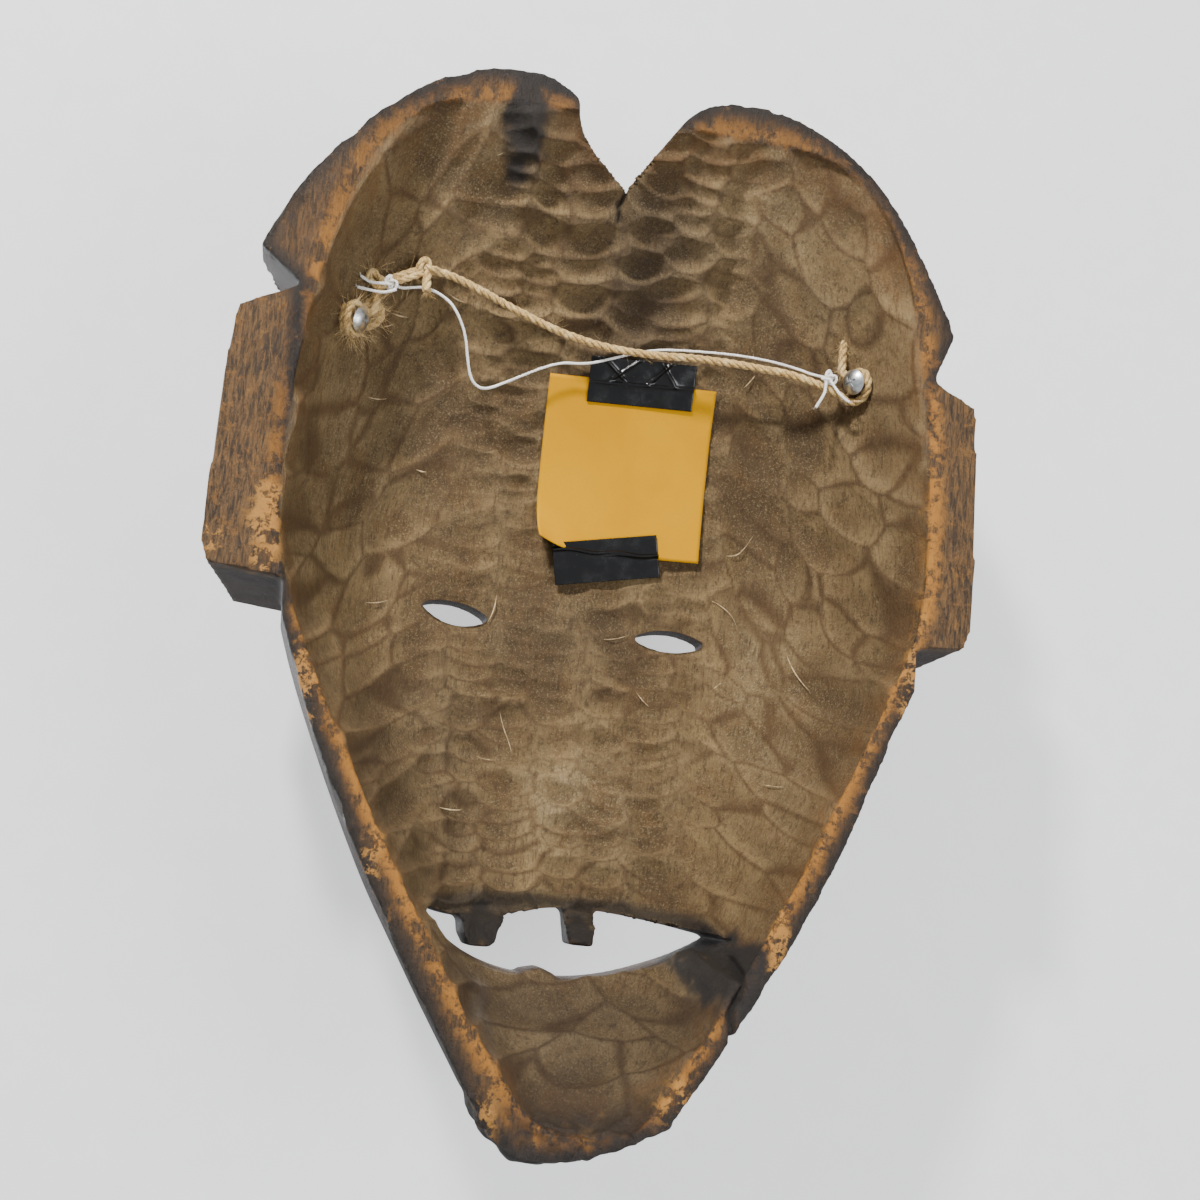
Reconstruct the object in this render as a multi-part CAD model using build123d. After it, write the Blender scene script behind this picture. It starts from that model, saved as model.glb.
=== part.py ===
from build123d import *
import math
import os

os.makedirs("parts", exist_ok=True)

# A carved wooden face mask with a hollow back, a twine and a string to hang it by,
# and a paper note taped inside. Millimetres.
# +Z is up the face, the face looks along -Y, and +X is the wearer's left.
# The rim and the backs of the ears lie in the plane Y = 0, which is the wall.
# Everything is drawn with Z = 0 at the line of the eyes, and is lowered by HANG_Z
# when it is written, so that the origin is midway between the two hanger screws,
# on the wall. A depth is a distance from the wall towards the face.

# Driving dimensions
HANG_Z = 114.0              # height of the hanger screws above the eyes
MASK_DEPTH = 150.0          # more than the depth of the nose tip
EAR_TOP, EAR_BOTTOM = 101.0, -3.0
EAR_DEPTH_LEFT, EAR_DEPTH_RIGHT = 62.0, 50.0
EAR_DRAFT = 10.0            # how far an ear's outer side leans in by its front
FACE_DEPTH = 100.0          # front of the face at the eyes, without its features
HOLLOW_DEPTH = 84.0         # deepest part of the hollow
HOLLOW_TOP, HOLLOW_CHIN = 207.0, -208.0
FRONT_TOP, FRONT_CHIN = 245.0, -235.0
DEEPEST_Z = -20.0           # height of the deepest part
HOLLOW_HALF_WIDTH = 136.0
FRONT_HALF_WIDTH = 160.0
HAIR_HALF_WIDTH = 172.0
JAW_SLOPE = 0.47            # half width lost per millimetre of height
HAIRLINE_Z = 98.0           # the front of the hair starts here, on the midline
HAIR_STEP = 7.0
SECTION_STEP = 12.0         # the curved surfaces are lofted through sections this far apart
SECTION_POINTS = 28

SCREW_HEAD_R, SCREW_HEAD_H = 5.8, 2.4
SCREW_SHANK_R, SCREW_LENGTH = 1.9, 25.0
SCREW_STANDOFF = 7.0        # from the wood to the underside of the head
SCREWS = {"left": (112.0, 112.0), "right": (-115.0, 117.0)}

TWINE_D = 3.6
STRING_D = 1.2
NOTE_SIZE, NOTE_T = 76.0, 0.4
NOTE_CENTRE, NOTE_TURN = (-18.5, 73.0), 1.5
TAPE_LENGTH, TAPE_WIDTH, TAPE_T = 48.0, 19.0, 0.4
TAPE_UPPER_CENTRE, TAPE_UPPER_TURN = (-21.0, 110.5), 2.0
TAPE_LOWER_CENTRE, TAPE_LOWER_TURN = (-15.0, 30.0), 13.0
PAPER_GAP = 1.6             # the gouged wood stands this much proud of the hollow's curve
TAPE_GAP = 1.0              # room for the note's bow under the tape


# The curved surfaces, as formulas

def ramp(s, softness):
    """Zero for negative s and s for positive s, with a soft corner."""
    return 0.5 * (s + math.hypot(s, softness))


def bump(s, width):
    return math.exp(-((s / width) ** 2))


def centre_x(z):
    """The mask is hand carved, and its middle drifts to one side towards the chin."""
    return -3.0 - 0.05 * ramp(-z - 10.0, 40.0)


def narrowing(z):
    return JAW_SLOPE * ramp(6.0 - z, 20.0)


def end_fall(z, top, chin, chin_power):
    """How much of the depth is gone towards the top and the chin, from 0 to 1."""
    if z > DEEPEST_Z:
        return ((z - DEEPEST_Z) / (top - DEEPEST_Z)) ** 2.5
    return ((DEEPEST_Z - z) / (DEEPEST_Z - chin)) ** chin_power


def across(x, z, half_width):
    """Distance from the middle as a share of the half width at this height."""
    return abs(x - centre_x(z)) / (half_width - narrowing(z))


def hollow_depth(x, z):
    """Depth of the hollow's bottom. It is negative beyond the rim."""
    roundness = 4.0 + 2.0 / (1.0 + math.exp((-40.0 - z) / 25.0))
    side = across(x, z, HOLLOW_HALF_WIDTH) ** roundness
    end = end_fall(z, HOLLOW_TOP, HOLLOW_CHIN, 3.0)
    return HOLLOW_DEPTH * (1.0 - side - end)


def dome_depth(x, z, half_width=FRONT_HALF_WIDTH):
    """Depth of the front without its carved features."""
    side = across(x, z, half_width) ** 4.0
    end = end_fall(z, FRONT_TOP, FRONT_CHIN, 3.0)
    return FACE_DEPTH * (1.0 - side - end)


def brow(s, z):
    arch = 31.0 - 0.005 * (s - 44.0) ** 2
    return 9.0 * bump(z - arch, 9.5) / (1.0 + ((s - 46.0) / 38.0) ** 6)


def eye(s, z):
    socket = -9.0 * math.exp(-(((s - 48.0) / 32.0) ** 2) - ((z - 3.0) / 20.0) ** 2)
    lids = 10.0 * math.exp(-(((s - 47.0) / 25.0) ** 4) - ((z - 1.0) / 11.0) ** 4)
    return socket + lids


def nose(s, z):
    length = ramp(30.0 - z, 8.0) / 85.0
    tip = 1.0 / (1.0 + math.exp((-60.0 - z) / 3.0))
    ridge = (6.0 + 25.0 * length) * tip / (1.0 + math.exp((z - 34.0) / 5.0))
    wings = 13.0 * math.exp(-(((s - 17.0) / 9.0) ** 2) - ((z + 50.0) / 10.0) ** 2)
    return ridge * math.exp(-((s / (8.5 + 9.0 * length)) ** 2.6)) + wings * tip


def mouth_relief(s, z):
    reach = 1.0 / (1.0 + (s / 66.0) ** 8)
    upper = 9.0 * bump(z + 117.0 + 0.0012 * s * s, 7.0)
    lower = 10.0 * bump(z + 160.0 - 0.0055 * s * s, 8.0)
    return (upper + lower) * reach


def cheek(s, z):
    return 6.0 * math.exp(-(((s - 72.0) / 24.0) ** 2) - ((z + 40.0) / 34.0) ** 2)


def chin(s, z):
    return 7.0 * math.exp(-((s / 28.0) ** 2) - ((z + 192.0) / 16.0) ** 2)


def face_depth(x, z):
    s = abs(x - centre_x(z))
    features = brow(s, z) + eye(s, z) + nose(s, z) + mouth_relief(s, z)
    return dome_depth(x, z) + features + cheek(s, z) + chin(s, z)


def hair_depth(x, z):
    """Front of the hair: two swelling lobes with a valley between them."""
    s = abs(x - centre_x(z))
    valley = 16.0 * bump(s, 17.0)
    lobe = 8.0 * math.exp(-(((s - 66.0) / 44.0) ** 2) - ((z - 160.0) / 42.0) ** 2)
    return dome_depth(x, z, HAIR_HALF_WIDTH) + HAIR_STEP + lobe - valley


def column_behind(depth_of, half_width, margin, low_z, high_z):
    """All that lies behind a depth formula's surface, to margin times its half width."""
    count = int(round((high_z - low_z) / SECTION_STEP))
    sections = []
    for level in range(count + 1):
        z = low_z + (high_z - low_z) * level / count
        reach = margin * (half_width - narrowing(z))
        shares = [math.sin(math.pi * (k / SECTION_POINTS - 0.5)) for k in range(SECTION_POINTS + 1)]
        xs = [centre_x(z) + reach * share for share in shares]
        points = [Vector(x, -depth_of(x, z), z) for x in xs]
        far = [Vector(xs[-1], 2 * MASK_DEPTH, z), Vector(xs[0], 2 * MASK_DEPTH, z)]
        sides = Polyline(points[-1], far[0], far[1], points[0])
        sections.append(Wire([Spline(*points).edge(), *sides.edges()]))
    return Solid.make_loft(sections)


# Outlines, in X and Z

def closed_outline(*edges):
    return Face(Wire(edges))


def polygon(*points):
    return Face(Wire.make_polygon([to_xz(point) for point in points], close=True))


def line(a, b):
    return Line(to_xz(a), to_xz(b)).edge()


def curve(*points):
    return Spline(*[to_xz(p) for p in points]).edge()


def to_xz(point):
    return Vector(point[0], 0, point[1])


NOTCH_LEFT, NOTCH_RIGHT = (132.0, 114.0), (-137.0, 113.0)
CORNER_LEFT, CORNER_RIGHT = (149.0, 128.0), (-145.0, 133.0)
TOP_NOTCH = (0.5, 182.0)
LOBE_LEFT_IN, LOBE_RIGHT_IN = (26.5, 212.0), (-20.0, 211.0)
JAW_LEFT, JAW_RIGHT = (124.0, -20.0), (-135.0, -22.0)
CHIN_LEFT, CHIN_RIGHT = (30.0, -202.0), (-45.0, -203.0)


def head_outline():
    """The rim, with two lobes of hair, side notches, and a narrow chipped chin."""
    return closed_outline(
        line(NOTCH_LEFT, CORNER_LEFT),
        curve(CORNER_LEFT, (131, 165), (102, 198), (70, 217), (45, 220.5), LOBE_LEFT_IN),
        curve(LOBE_LEFT_IN, (18.5, 195), (7.5, 187.5), TOP_NOTCH),
        curve(TOP_NOTCH, (-9, 195.5), LOBE_RIGHT_IN),
        curve(LOBE_RIGHT_IN, (-34, 220), (-80, 213), (-109, 193), (-129, 163), CORNER_RIGHT),
        line(CORNER_RIGHT, NOTCH_RIGHT),
        line(NOTCH_RIGHT, JAW_RIGHT),
        curve(JAW_RIGHT, (-125, -48), (-101, -106), (-75, -155)),
        line((-75, -155), (-68, -166)),
        line((-68, -166), CHIN_RIGHT),
        curve(CHIN_RIGHT, (-21, -213), (2, -218), (17, -215), CHIN_LEFT),
        curve(CHIN_LEFT, (51, -168), (84, -111), (113, -49), JAW_LEFT),
        line(JAW_LEFT, NOTCH_LEFT),
    )


def hair_outline():
    """The stretch of the head above the hairline, drawn larger than the head."""
    edge = curve((-170, 118), (-80, 104), (0, HAIRLINE_Z), (80, 104), (170, 118))
    return closed_outline(
        edge,
        line((170, 118), (170, 240)),
        line((170, 240), (-170, 240)),
        line((-170, 240), (-170, 118)),
    )


def through(face):
    """A prism through the whole mask."""
    return Solid.extrude(face, Vector(0, -2 * MASK_DEPTH, 0)).moved(Location((0, MASK_DEPTH, 0)))


def into(face, depth):
    """A prism from the wall plane into the mask."""
    return Solid.extrude(face, Vector(0, -depth, 0))


# The mask

def head():
    outline = into(head_outline(), MASK_DEPTH)
    face = outline & column_behind(face_depth, FRONT_HALF_WIDTH, 1.0, -222.0, 226.0)
    hair = into(hair_outline(), MASK_DEPTH) & outline
    return face + (hair & column_behind(hair_depth, HAIR_HALF_WIDTH, 1.0, 84.0, 226.0))


def ear(side, depth, drop):
    """A block ear. side is +1 for the wearer's left, drop is how far its sole slopes down."""
    root = 118.0
    back = [(root, EAR_BOTTOM - 3), (155, EAR_BOTTOM), (158, 6), (157, 74), (155, EAR_TOP),
            (145, 107), (131, 114), (root, 114)]
    lean = [0, EAR_DRAFT, EAR_DRAFT, EAR_DRAFT, EAR_DRAFT, EAR_DRAFT, 0, 0]
    rise = [-drop, -drop, -drop, -2, -8, -6, -4, 0]
    backs = [(side * x, 0, z) for x, z in back]
    fronts = [(side * (x - a), -depth, z + b) for (x, z), a, b in zip(back, lean, rise)]
    sections = [Face(Wire.make_polygon(points, close=True)) for points in (backs, fronts)]
    block = loft(sections, ruled=True)
    groove = Pos(side * 146, -depth, 50) * Box(9, 12, 66)
    return block - groove


def eye_slit(x_in, x_out, z_in, z_out, rise, fall):
    middle = 0.5 * (x_in + x_out)
    upper = ThreePointArc(to_xz((x_in, z_in)), to_xz((middle, rise)), to_xz((x_out, z_out)))
    lower = ThreePointArc(to_xz((x_out, z_out)), to_xz((middle, fall)), to_xz((x_in, z_in)))
    return closed_outline(upper.edge(), lower.edge())


MOUTH_LEFT, MOUTH_RIGHT = (58.0, -124.0), (-72.0, -129.0)


def mouth_opening():
    """A crescent with two teeth left standing from the upper lip, and a stub below."""
    crescent = closed_outline(
        curve(MOUTH_LEFT, (30, -129), (0, -123.5), (-40, -124), MOUTH_RIGHT),
        curve(MOUTH_RIGHT, (-44, -144), (-6, -151.5), (28, -146), MOUTH_LEFT),
    )
    wide_tooth = [(38, -118), (16, -118), (21, -139), (24, -141), (33, -141), (36, -136)]
    square_tooth = [(-9, -116), (-22, -116), (-21.5, -137.5), (-11, -137.5)]
    stub = [(13, -155), (8, -149), (1, -147.5), (-5, -150), (-9, -156)]
    for outline in (wide_tooth, square_tooth, stub):
        crescent = (crescent - polygon(*outline)).face()
    return crescent


def surface_normal(x, z):
    """Direction out of the wood and into the hollow."""
    step = 0.5
    slope_x = (hollow_depth(x + step, z) - hollow_depth(x - step, z)) / (2 * step)
    slope_z = (hollow_depth(x, z + step) - hollow_depth(x, z - step)) / (2 * step)
    return Vector(slope_x, 1.0, slope_z).normalized()


def on_hollow(x, z, lift=0.0):
    """A plane that touches the hollow's bottom, with its Z out of the wood."""
    normal = surface_normal(x, z)
    origin = Vector(x, -hollow_depth(x, z), z) + normal * lift
    across = Vector(0, 0, 1).cross(normal)
    return Plane(origin=origin, x_dir=across, z_dir=normal)


def shank():
    length = SCREW_LENGTH
    return Cylinder(SCREW_SHANK_R, length, align=(Align.CENTER, Align.CENTER, Align.MAX))


def mask_body():
    body = head() + ear(1, EAR_DEPTH_LEFT, 5.0) + ear(-1, EAR_DEPTH_RIGHT, 6.0)
    body -= column_behind(hollow_depth, HOLLOW_HALF_WIDTH, 1.08, -214.0, 213.0)
    body -= through(eye_slit(34, 66, 0.5, 4.5, 6.5, -3.5))
    body -= through(eye_slit(-31, -66, -0.5, -0.5, 4.5, -5.0))
    body -= through(mouth_opening())
    for x, z in SCREWS.values():
        body -= on_hollow(x, z, SCREW_STANDOFF) * shank()
    return body


# What is fastened to it

def screw(x, z):
    """A truss head screw with a cross recess, driven square to the hollow's side."""
    dome = Sphere(SCREW_HEAD_R * 1.35) & Pos(0, 0, 10) * Box(30, 30, 20)
    drop = SCREW_HEAD_R * 1.35 - SCREW_HEAD_H
    head_solid = Pos(0, 0, -drop) * dome
    head_solid &= Cylinder(SCREW_HEAD_R, 2 * SCREW_HEAD_H)
    head_solid &= Pos(0, 0, SCREW_HEAD_H) * Box(20, 20, 2 * SCREW_HEAD_H)
    for turn in (20, 110):
        head_solid -= Pos(0, 0, SCREW_HEAD_H) * Rot(0, 0, turn) * Box(5.2, 1.0, 2.6)
    return on_hollow(x, z, SCREW_STANDOFF) * (head_solid + shank())


def cord_tube(name, route, diameter):
    """Straight runs joined by tangent arcs, each as large as its runs allow."""
    points = [Vector(*point) for point in route]
    radii = []
    for before, here, after in zip(points, points[1:], points[2:]):
        turn = math.radians((here - before).get_angle(after - here))
        shorter = min((here - before).length, (after - here).length)
        radii.append(0.45 * shorter / math.tan(turn / 2))
    path = FilletPolyline(*points, radius=radii)
    section = Plane(origin=path @ 0, z_dir=path % 0) * Circle(diameter / 2)
    tube = sweep(section, path=path)
    expected = math.pi * diameter ** 2 / 4 * path.length
    print(f"{name}: {path.length:.0f} mm long, volume ratio {tube.volume / expected:.3f}, radii",
          " ".join(f"{radius:.0f}" for radius in radii))
    return tube


# Cord routes, as X, Y and Z points chosen by hand
TWINE_SPAN = [
    (77.5, -39.5, 141.5), (66.0, -41.0, 139.6), (51.0, -43.5, 134.6), (33.8, -45.5, 128.6),
    (18.0, -47.0, 124.0), (0.0, -47.0, 120.6), (-21.0, -46.0, 119.6), (-43.0, -44.0, 120.8),
    (-65.0, -42.0, 119.8), (-84.0, -38.5, 117.6), (-97.0, -35.5, 113.6),
]
TWINE_TAIL = [
    (-97.6, -35.3, 113.4), (-105.0, -32.5, 109.0), (-112.5, -26.0, 107.5), (-119.5, -20.5, 112.5),
    (-120.0, -20.0, 121.0), (-112.5, -26.0, 125.0), (-106.0, -31.5, 122.5), (-104.5, -36.0, 128.0),
    (-106.0, -37.0, 139.0),
]
STRING_SPAN = [
    (92.0, -38.0, 134.6), (83.0, -37.0, 133.2), (75.0, -38.0, 132.6), (67.0, -41.0, 127.0),
    (61.0, -45.0, 117.5), (58.6, -49.0, 107.0), (56.0, -52.0, 98.5), (50.0, -54.0, 95.5),
    (39.5, -54.5, 101.5), (19.0, -53.0, 113.0), (6.0, -52.0, 113.2), (-8.0, -51.0, 118.6),
    (-23.0, -49.0, 123.6), (-42.0, -46.0, 124.6), (-63.0, -43.0, 124.6), (-82.0, -39.5, 122.0),
    (-95.0, -35.5, 117.2),
]


def twine_wrap_left():
    """The outer shape of the twine's loose turns round the left screw."""
    x, z = SCREWS["left"]
    ring = Torus(6.2, 3.2)
    curl = Pos(11.5, 1.5, -0.4) * Torus(4.2, 2.2)
    neck = Pos(8.5, 8.5, -0.8) * Sphere(3.6)
    return on_hollow(x, z, 3.6) * (ring + curl + neck)


def knot(at, *lumps):
    """A knot as balls that don't quite touch: X, Y, Z from its middle, and a radius, of each."""
    balls = []
    for dx, dy, dz, radius in lumps:
        balls.append(Solid.make_sphere(radius, Plane((at[0] + dx, at[1] + dy, at[2] + dz))))
    return Compound(children=balls)


def twine_knot_left():
    """The knot, its loose end below it, and the doubled twine from it down to the wrap."""
    return knot((81.0, -38.5, 141.8), (0, 0, 0, 3.5), (7.6, 0.4, -3.2, 3.0), (-0.6, -1.0, -6.6, 2.2))


def string_knot_left():
    return knot((97.0, -33.5, 135.6), (0, 0, 0, 2.6), (5.0, 1.4, -1.0, 1.4))


def string_knot_right():
    return knot((-98.2, -31.8, 117.4), (0, 0, 0, 2.4), (2.8, 0.8, -3.6, 1.2), (-3.6, 1.6, -3.6, 1.2))


def laid_sheet(centre, width, height, thickness, turn, lift):
    """A thin sheet that follows the hollow's curve up the forehead."""
    x, z = centre
    profile = []
    for share in (-0.5, 0.0, 0.5):
        at_z = z + share * height
        profile.append(Vector(x, -hollow_depth(x, at_z) + lift, at_z))
    back = ThreePointArc(*profile)
    front = ThreePointArc(*[point + Vector(0, thickness, 0) for point in reversed(profile)])
    ends = [Line(profile[-1], front @ 0).edge(), Line(front @ 1, profile[0]).edge()]
    side = closed_outline(back.edge(), ends[0], front.edge(), ends[1])
    strip = Solid.extrude(side, Vector(width, 0, 0)).moved(Location((-width / 2, 0, 0)))
    middle = profile[1]
    about = Axis((middle.X, middle.Y, middle.Z), (0, 1, 0))
    return strip.rotate(about, turn)


def paper_note():
    return laid_sheet(NOTE_CENTRE, NOTE_SIZE, NOTE_SIZE, NOTE_T, NOTE_TURN, PAPER_GAP)


def tape(centre, turn):
    lift = PAPER_GAP + NOTE_T + TAPE_GAP
    return laid_sheet(centre, TAPE_LENGTH, TAPE_WIDTH, TAPE_T, turn, lift)


def write(name, solid):
    placed = solid.moved(Location((0, 0, -HANG_Z)))
    export_step(placed, f"parts/{name}.step")


write("mask_body", mask_body())
for side, (x, z) in SCREWS.items():
    write(f"screw_{side}", screw(x, z))
write("twine_span", cord_tube("twine span", TWINE_SPAN, TWINE_D))
write("twine_tail_right", cord_tube("twine tail", TWINE_TAIL, TWINE_D))
write("twine_wrap_left", twine_wrap_left())
write("twine_knot_left", twine_knot_left())
write("string_span", cord_tube("string span", STRING_SPAN, STRING_D))
write("string_knot_left", string_knot_left())
write("string_knot_right", string_knot_right())
write("paper_note", paper_note())
write("tape_upper", tape(TAPE_UPPER_CENTRE, TAPE_UPPER_TURN))
write("tape_lower", tape(TAPE_LOWER_CENTRE, TAPE_LOWER_TURN))
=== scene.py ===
import math

import bpy
import numpy as np
from mathutils import Matrix, Vector


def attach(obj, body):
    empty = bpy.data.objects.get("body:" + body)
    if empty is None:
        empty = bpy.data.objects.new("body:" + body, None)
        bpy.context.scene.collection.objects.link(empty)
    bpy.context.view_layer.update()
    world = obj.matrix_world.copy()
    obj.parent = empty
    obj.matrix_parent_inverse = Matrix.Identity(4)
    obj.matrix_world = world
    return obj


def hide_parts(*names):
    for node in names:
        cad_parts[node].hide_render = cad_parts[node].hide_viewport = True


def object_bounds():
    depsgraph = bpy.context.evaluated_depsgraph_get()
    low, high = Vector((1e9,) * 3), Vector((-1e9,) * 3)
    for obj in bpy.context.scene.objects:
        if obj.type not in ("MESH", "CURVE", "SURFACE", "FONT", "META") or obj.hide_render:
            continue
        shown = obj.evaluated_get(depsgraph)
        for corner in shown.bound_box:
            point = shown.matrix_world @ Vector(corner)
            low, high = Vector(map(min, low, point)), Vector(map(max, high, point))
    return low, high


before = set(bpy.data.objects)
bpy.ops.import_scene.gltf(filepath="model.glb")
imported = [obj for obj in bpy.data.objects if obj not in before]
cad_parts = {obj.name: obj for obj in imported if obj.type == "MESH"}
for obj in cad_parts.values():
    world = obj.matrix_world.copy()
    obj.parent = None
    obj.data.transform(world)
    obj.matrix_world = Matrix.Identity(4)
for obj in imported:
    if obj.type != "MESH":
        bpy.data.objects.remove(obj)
CAD_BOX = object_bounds()

# Lengths in this script are in millimetres, as the mask is drawn: X towards the wearer's left,
# Y out of the hollow, Z up from the line of the eyes. A depth is measured from the wall,
# which is the plane Y = 0, towards the face. metres() turns such points into the row frame,
# whose origin is HANG_Z above the eyes.

HANG_Z = 114.0
HOLLOW_DEPTH, HOLLOW_TOP, HOLLOW_CHIN = 84.0, 207.0, -208.0
FACE_DEPTH, FRONT_TOP, FRONT_CHIN = 100.0, 245.0, -235.0
DEEPEST_Z = -20.0
HOLLOW_HALF_WIDTH, FRONT_HALF_WIDTH = 136.0, 160.0
JAW_SLOPE = 0.47
SCREWS = {"left": (112.0, 112.0), "right": (-115.0, 117.0)}
TWINE_D, STRING_D = 3.6, 1.2
TWINE_PITCH, STRING_PITCH = 11.5 / 1000.0, 3.4 / 1000.0  # metres along the cord per turn of a ply
ROUTE_SAMPLES = 14  # points that a route's curve has for each of its control points
NOTE_SIZE, NOTE_CENTRE, NOTE_TURN = 76.0, (-18.5, 73.0), 1.5
TAPE_LENGTH, TAPE_WIDTH = 48.0, 19.0
PAPER_GAP, TAPE_GAP = 1.6, 3.1  # from the plain hollow, over the tops of its gouge marks
CORNER_LIFT, CORNER_PULL = 9.0, 4.5

TWINE_SPAN = [
    (77.5, -39.5, 141.5), (66.0, -41.0, 139.6), (51.0, -43.5, 134.6), (33.8, -45.5, 128.6),
    (18.0, -47.0, 124.0), (0.0, -47.0, 120.6), (-21.0, -46.0, 119.6), (-43.0, -44.0, 120.8),
    (-65.0, -42.0, 119.8), (-84.0, -38.5, 117.6), (-97.0, -35.5, 113.6),
]
TWINE_TAIL_START = (-105.0, -32.5, 109.0)
STRING_SPAN = [
    (67.0, -41.0, 127.0), (61.0, -45.0, 117.5), (58.6, -49.0, 107.0), (56.0, -52.0, 98.5),
    (50.0, -54.0, 95.5), (39.5, -54.5, 101.5), (19.0, -53.0, 113.0), (6.0, -52.0, 113.2),
    (-8.0, -51.0, 118.6), (-23.0, -49.0, 123.6), (-42.0, -46.0, 124.6), (-63.0, -43.0, 124.6),
    (-82.0, -39.5, 122.0), (-95.0, -35.5, 117.2),
]


def metres(points):
    points = np.asarray(points, float)
    return (points - np.array([0.0, 0.0, HANG_Z])) / 1000.0


# Camera

CAMERA_AZIMUTH, CAMERA_ELEVATION, CAMERA_ROLL = math.radians(10), math.radians(10), math.radians(5)
CAMERA_DISTANCE = 0.68
CAMERA_LENS, CAMERA_SENSOR = 51.0, 36.0


def make_camera():
    """Behind the mask, a little to its left and a little below it, and rolled."""
    data = bpy.data.cameras.new("camera")
    data.lens, data.sensor_width = CAMERA_LENS, CAMERA_SENSOR
    data.clip_start = 0.01
    camera = bpy.data.objects.new("camera", data)
    bpy.context.scene.collection.objects.link(camera)
    level = math.cos(CAMERA_ELEVATION)
    view = Vector((-math.sin(CAMERA_AZIMUTH) * level, -math.cos(CAMERA_AZIMUTH) * level,
                   math.sin(CAMERA_ELEVATION)))
    right = view.cross(Vector((0, 0, 1))).normalized()
    up = right.cross(view)
    rolled_right = right * math.cos(CAMERA_ROLL) + up * math.sin(CAMERA_ROLL)
    rolled_up = up * math.cos(CAMERA_ROLL) - right * math.sin(CAMERA_ROLL)
    place = Vector((0, 0, -HANG_Z / 1000.0)) - view * CAMERA_DISTANCE
    camera.matrix_world = Matrix((
        (rolled_right.x, rolled_up.x, -view.x, place.x),
        (rolled_right.y, rolled_up.y, -view.y, place.y),
        (rolled_right.z, rolled_up.z, -view.z, place.z),
        (0, 0, 0, 1),
    ))
    bpy.context.scene.camera = camera


make_camera()


# Shape formulas, the same as the mask's solid

def ramp(s, softness):
    return 0.5 * (s + np.hypot(s, softness))


def bump(s, width):
    return np.exp(-((s / width) ** 2))


def smooth(x, low, high):
    t = np.clip((x - low) / (high - low), 0.0, 1.0)
    return t * t * (3.0 - 2.0 * t)


def centre_x(z):
    return -3.0 - 0.05 * ramp(-z - 10.0, 40.0)


def across(x, z, half_width):
    return np.abs(x - centre_x(z)) / (half_width - JAW_SLOPE * ramp(6.0 - z, 20.0))


def end_fall(z, top, chin):
    up = np.clip((z - DEEPEST_Z) / (top - DEEPEST_Z), 0.0, None) ** 2.5
    down = np.clip((DEEPEST_Z - z) / (DEEPEST_Z - chin), 0.0, None) ** 3.0
    return up + down


def hollow_depth(x, z):
    roundness = 4.0 + 2.0 / (1.0 + np.exp((-40.0 - z) / 25.0))
    side = across(x, z, HOLLOW_HALF_WIDTH) ** roundness
    return HOLLOW_DEPTH * (1.0 - side - end_fall(z, HOLLOW_TOP, HOLLOW_CHIN))


def hollow_slope(x, z):
    step = 0.5
    slope_x = (hollow_depth(x + step, z) - hollow_depth(x - step, z)) / (2 * step)
    slope_z = (hollow_depth(x, z + step) - hollow_depth(x, z - step)) / (2 * step)
    return slope_x, slope_z


def dome_depth(x, z, half_width=FRONT_HALF_WIDTH):
    side = across(x, z, half_width) ** 4.0
    return FACE_DEPTH * (1.0 - side - end_fall(z, FRONT_TOP, FRONT_CHIN))


def face_depth(x, z):
    """Front of the face: brows, lidded eyes, nose, lips, cheeks and chin on the dome."""
    s = np.abs(x - centre_x(z))
    arch = 31.0 - 0.005 * (s - 44.0) ** 2
    brow = 9.0 * bump(z - arch, 9.5) / (1.0 + ((s - 46.0) / 38.0) ** 6)
    socket = -9.0 * np.exp(-(((s - 48.0) / 32.0) ** 2) - ((z - 3.0) / 20.0) ** 2)
    lids = 10.0 * np.exp(-(((s - 47.0) / 25.0) ** 4) - ((z - 1.0) / 11.0) ** 4)
    length = ramp(30.0 - z, 8.0) / 85.0
    tip = 1.0 / (1.0 + np.exp(np.clip((-60.0 - z) / 3.0, -40, 40)))
    ridge = (6.0 + 25.0 * length) * tip / (1.0 + np.exp(np.clip((z - 34.0) / 5.0, -40, 40)))
    wings = 13.0 * np.exp(-(((s - 17.0) / 9.0) ** 2) - ((z + 50.0) / 10.0) ** 2)
    nose = ridge * np.exp(-((s / (8.5 + 9.0 * length)) ** 2.6)) + wings * tip
    reach = 1.0 / (1.0 + (s / 66.0) ** 8)
    upper = 9.0 * bump(z + 117.0 + 0.0012 * s * s, 7.0)
    lower = 10.0 * bump(z + 160.0 - 0.0055 * s * s, 8.0)
    cheek = 6.0 * np.exp(-(((s - 72.0) / 24.0) ** 2) - ((z + 40.0) / 34.0) ** 2)
    chin = 7.0 * np.exp(-((s / 28.0) ** 2) - ((z + 192.0) / 16.0) ** 2)
    features = brow + socket + lids + nose + (upper + lower) * reach + cheek + chin
    return dome_depth(x, z) + features


def value_noise(points, size, seed):
    """Smooth noise from -1 to 1 whose lumps are about size millimetres wide."""
    table = np.random.default_rng(seed).random((32, 32, 32))
    scaled = np.asarray(points, float) / size
    cell = np.floor(scaled).astype(int)
    part = scaled - cell
    part = part * part * (3.0 - 2.0 * part)
    total = np.zeros(len(scaled))
    for corner in np.ndindex(2, 2, 2):
        weight = np.prod(np.where(corner, part, 1.0 - part), axis=1)
        index = (cell + corner) % 32
        total += weight * table[index[:, 0], index[:, 1], index[:, 2]]
    return 2.0 * total - 1.0


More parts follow.
